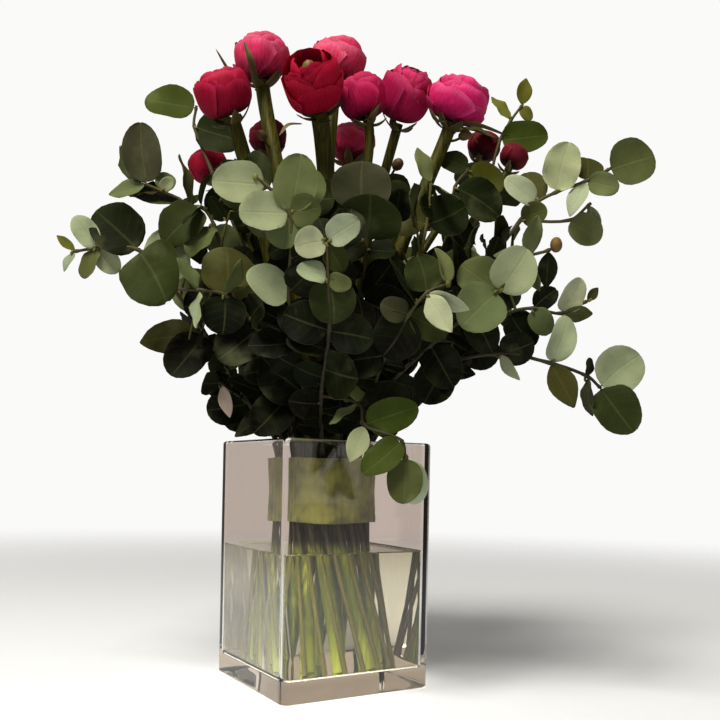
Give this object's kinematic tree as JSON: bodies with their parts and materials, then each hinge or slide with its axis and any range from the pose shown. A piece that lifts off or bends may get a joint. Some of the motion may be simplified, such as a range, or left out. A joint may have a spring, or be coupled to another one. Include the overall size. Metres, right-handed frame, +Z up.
{
  "type": "ranunculus and eucalyptus bouquet in glass vase",
  "caption": "Hand-tied bouquet of pink to crimson ranunculus blooms on long green stems, with round-leaved eucalyptus sprays, in a square clear glass vase of water.",
  "frame": {"origin": "centre of the vase's flat underside", "axes": "+Z up; +X and +Y square to the vase's sides; the bouquet's front faces the vase edge between -X and -Y"},
  "size_m": [0.3061, 0.2744, 0.4113],
  "materials": {
    "vase_glass": "clear, polished, with softly rounded edges",
    "water": "clear liquid, faintly green from the stems",
    "wrap_fabric": "soft, matt, slightly see-through olive band",
    "flower_stem": "fresh yellow-green stem, finely ribbed, satin",
    "eucalyptus": "waxy leaves, from pale blue-green to dark olive, brownish twigs",
    "petal_crimson": "thin satin petals, deep crimson",
    "petal_pink": "thin satin petals, mid pink",
    "petal_red": "thin satin petals, red",
    "petal_magenta": "thin satin petals, magenta",
    "petal_plum": "thin satin petals, plum",
    "petal_rose": "thin satin petals, rose",
    "petal_dark_red": "thin satin petals, dark red"
  },
  "bodies": {
    "root": {"vase": "vase_glass", "water": "water", "binding_wrap": "wrap_fabric", "ranunculus_stem_01": "flower_stem", "ranunculus_stem_02": "flower_stem", "ranunculus_stem_03": "flower_stem", "ranunculus_stem_04": "flower_stem", "ranunculus_stem_05": "flower_stem", "ranunculus_stem_06": "flower_stem", "ranunculus_stem_07": "flower_stem", "ranunculus_stem_08": "flower_stem", "ranunculus_stem_09": "flower_stem", "ranunculus_stem_10": "flower_stem", "ranunculus_stem_11": "flower_stem", "ranunculus_stem_12": "flower_stem", "ranunculus_bloom_01": "petal_crimson", "ranunculus_bloom_02": "petal_pink", "ranunculus_bloom_03": "petal_red", "ranunculus_bloom_04": "petal_pink", "ranunculus_bloom_05": "petal_magenta", "ranunculus_bloom_06": "petal_plum", "ranunculus_bloom_07": "petal_rose", "ranunculus_bloom_08": "petal_dark_red", "ranunculus_bloom_09": "petal_crimson", "ranunculus_bloom_10": "petal_pink", "ranunculus_bloom_11": "petal_dark_red", "ranunculus_bloom_12": "petal_dark_red", "eucalyptus_spray_01": "eucalyptus", "eucalyptus_spray_02": "eucalyptus", "eucalyptus_spray_03": "eucalyptus", "eucalyptus_spray_04": "eucalyptus", "eucalyptus_spray_05": "eucalyptus", "eucalyptus_spray_06": "eucalyptus", "eucalyptus_spray_07": "eucalyptus", "eucalyptus_spray_08": "eucalyptus", "eucalyptus_spray_09": "eucalyptus", "eucalyptus_spray_10": "eucalyptus", "eucalyptus_spray_11": "eucalyptus", "eucalyptus_spray_12": "eucalyptus", "eucalyptus_spray_13": "eucalyptus", "eucalyptus_spray_14": "eucalyptus", "eucalyptus_spray_15": "eucalyptus", "eucalyptus_spray_16": "eucalyptus", "eucalyptus_spray_17": "eucalyptus", "eucalyptus_spray_18": "eucalyptus", "eucalyptus_spray_19": "eucalyptus", "eucalyptus_spray_20": "eucalyptus"}
  },
  "joints": []
}
